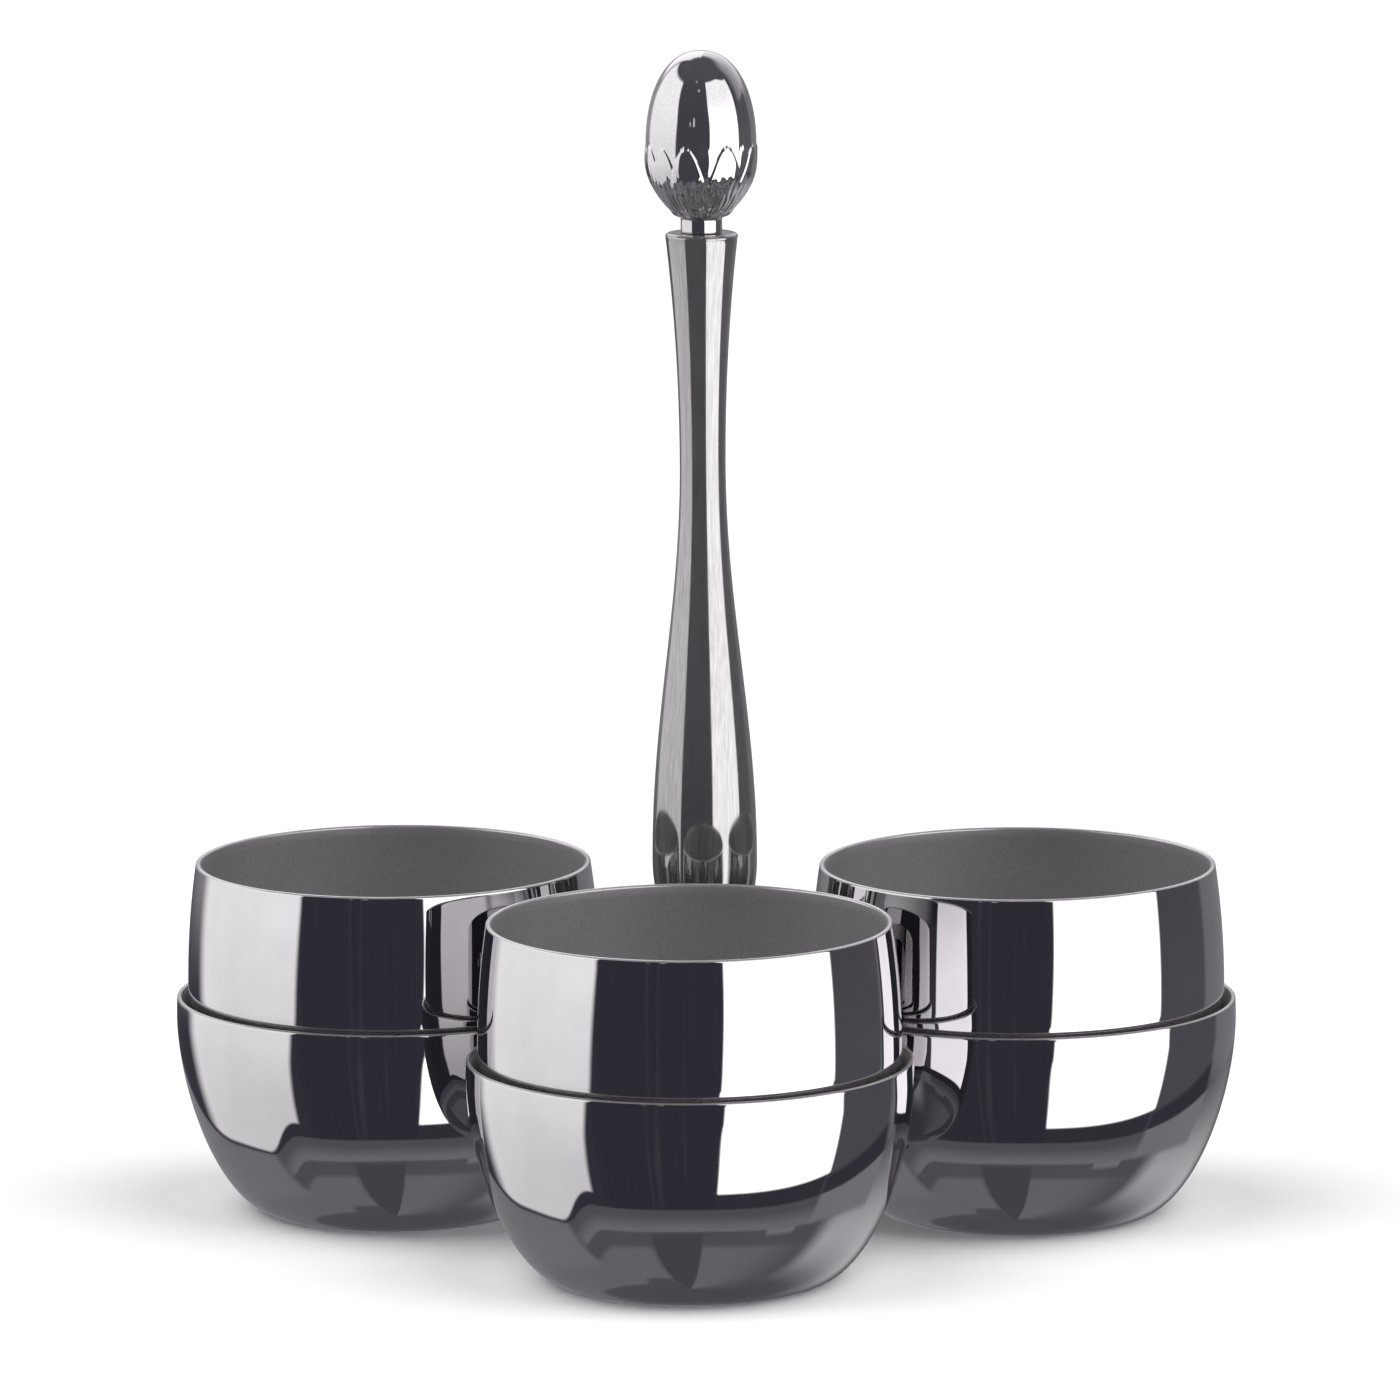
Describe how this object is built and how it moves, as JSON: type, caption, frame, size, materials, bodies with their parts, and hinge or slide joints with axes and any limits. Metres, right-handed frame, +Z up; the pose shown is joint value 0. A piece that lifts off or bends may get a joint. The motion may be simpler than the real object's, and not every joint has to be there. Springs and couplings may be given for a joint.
{
  "type": "three-cup condiment server",
  "caption": "Carrying stand of round holders around a turned post with a bud finial; round cups lift out of the holders to serve nibbles or condiments.",
  "frame": {"origin": "at table height, under the middle of the whole server's box", "axes": "+Z up along the post, -Y towards the front cup, +X towards the right cup"},
  "size_m": [0.2678, 0.189, 0.294],
  "materials": {
    "holder_steel": "mirror polished",
    "cup_steel": "mirror polished outside, satin inside",
    "post_steel": "polished, fine turning marks",
    "finial_steel": "mirror polished casting",
    "hub_steel": "turned and polished",
    "fastener_steel": "plain stainless"
  },
  "bodies": {
    "stand": {"holder_front": "holder_steel", "holder_left": "holder_steel", "holder_right": "holder_steel", "post": "post_steel", "finial": "finial_steel", "finial_stud": "fastener_steel", "hub": "hub_steel", "spacer_front": "hub_steel", "spacer_left": "hub_steel", "spacer_right": "hub_steel", "post_bolt": "fastener_steel", "post_washer": "fastener_steel", "holder_screws": "fastener_steel", "saddle_washers": "fastener_steel"},
    "cup_front": {"cup_front": "cup_steel"},
    "cup_left": {"cup_left": "cup_steel"},
    "cup_right": {"cup_right": "cup_steel"}
  },
  "joints": [
    {"name": "cup_front_lift", "type": "slide", "parent": "stand", "child": "cup_front", "axis": [0, 0, 1], "range_m": [0, 0.12]},
    {"name": "cup_left_lift", "type": "slide", "parent": "stand", "child": "cup_left", "axis": [0, 0, 1], "range_m": [0, 0.12]},
    {"name": "cup_right_lift", "type": "slide", "parent": "stand", "child": "cup_right", "axis": [0, 0, 1], "range_m": [0, 0.12]}
  ]
}
